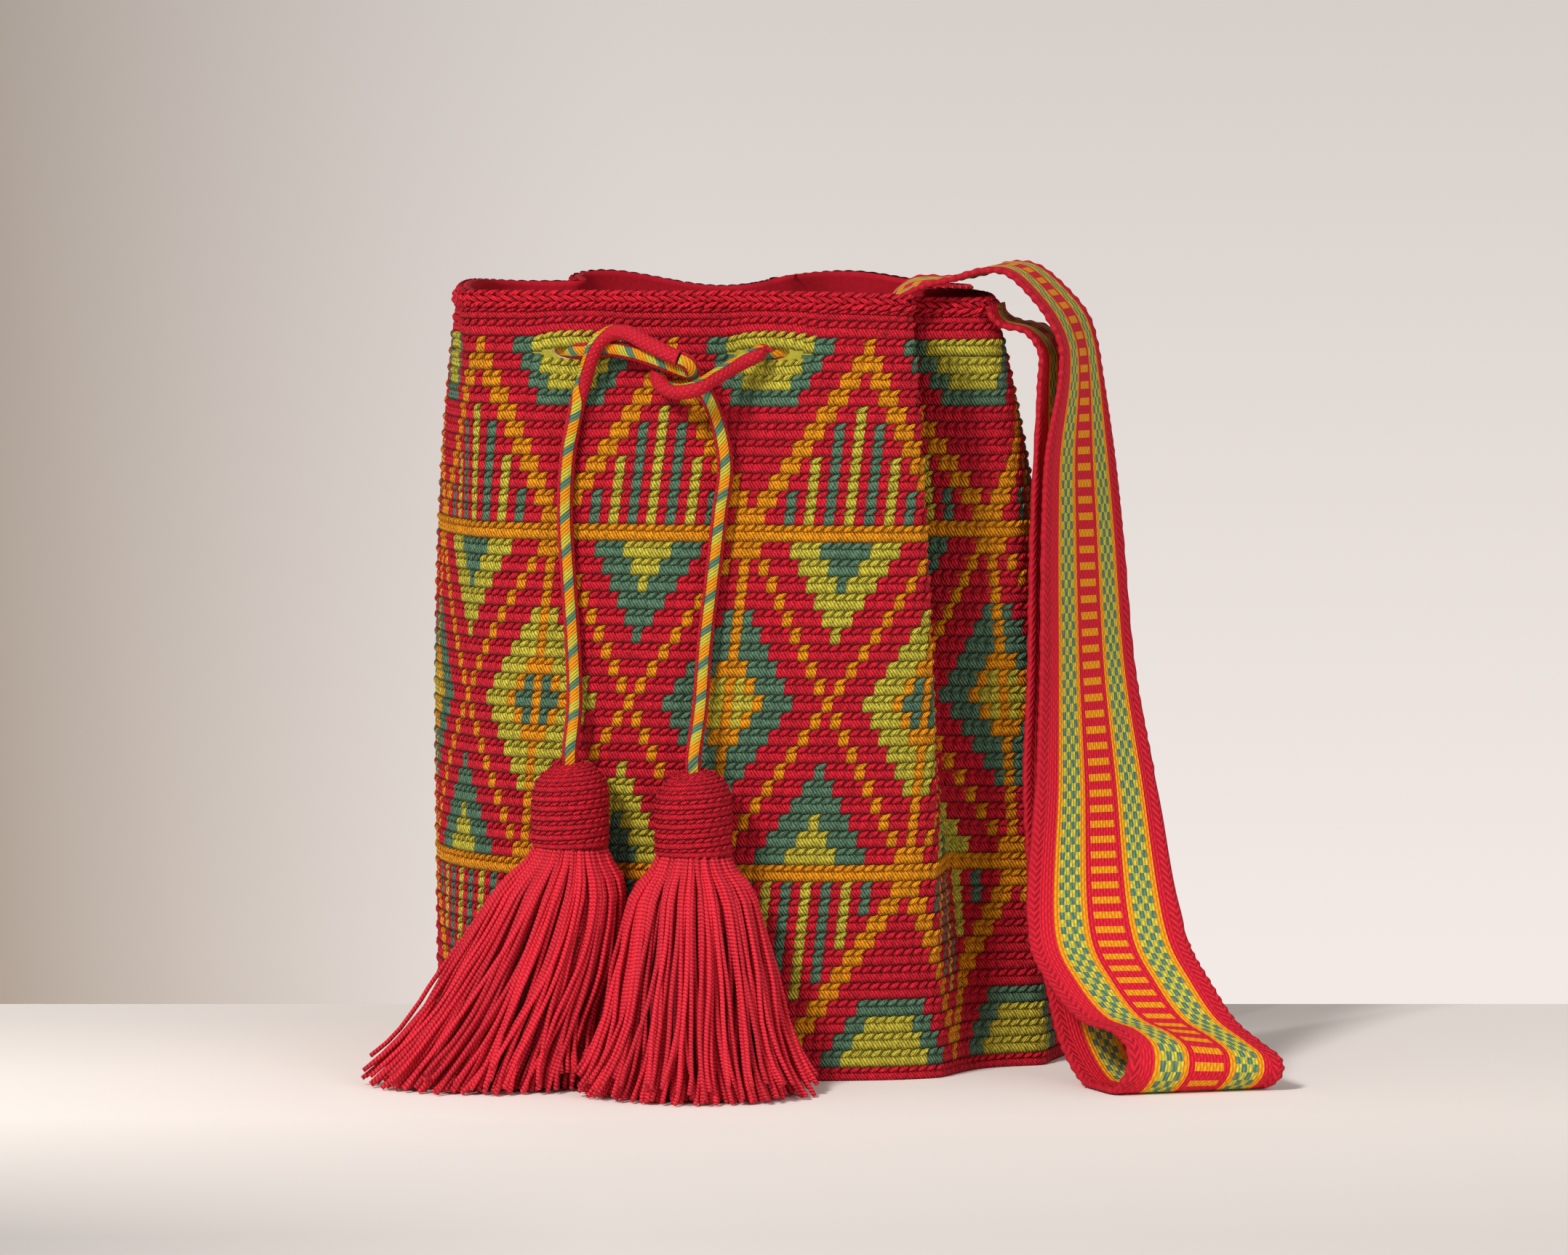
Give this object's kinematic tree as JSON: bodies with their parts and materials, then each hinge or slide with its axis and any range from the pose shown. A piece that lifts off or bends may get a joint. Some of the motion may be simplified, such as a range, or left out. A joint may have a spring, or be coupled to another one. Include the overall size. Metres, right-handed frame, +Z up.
{
  "type": "wayuu mochila bag",
  "caption": "Crocheted bucket bag with a patterned body, a threaded drawstring ending in tassels and a wide woven shoulder strap.",
  "frame": {"origin": "middle of the base's underside, on the floor", "axes": "+Z up, -Y towards the front with the tassels, +X towards the side that the strap hangs down"},
  "size_m": [0.3306, 0.2825, 0.2946],
  "materials": {
    "bag_crochet": "matt crocheted cotton",
    "cord": "matt braided cotton",
    "strap_weave": "matt woven cotton",
    "tassel_crochet": "matt crocheted cotton",
    "tassel_yarn": "matt twisted cotton yarn"
  },
  "bodies": {
    "root": {"bag_body": "bag_crochet", "drawstring": "cord", "strap": "strap_weave", "tassel_head_left": "tassel_crochet", "tassel_skirt_left": "tassel_yarn", "tassel_head_right": "tassel_crochet", "tassel_skirt_right": "tassel_yarn"}
  },
  "joints": []
}
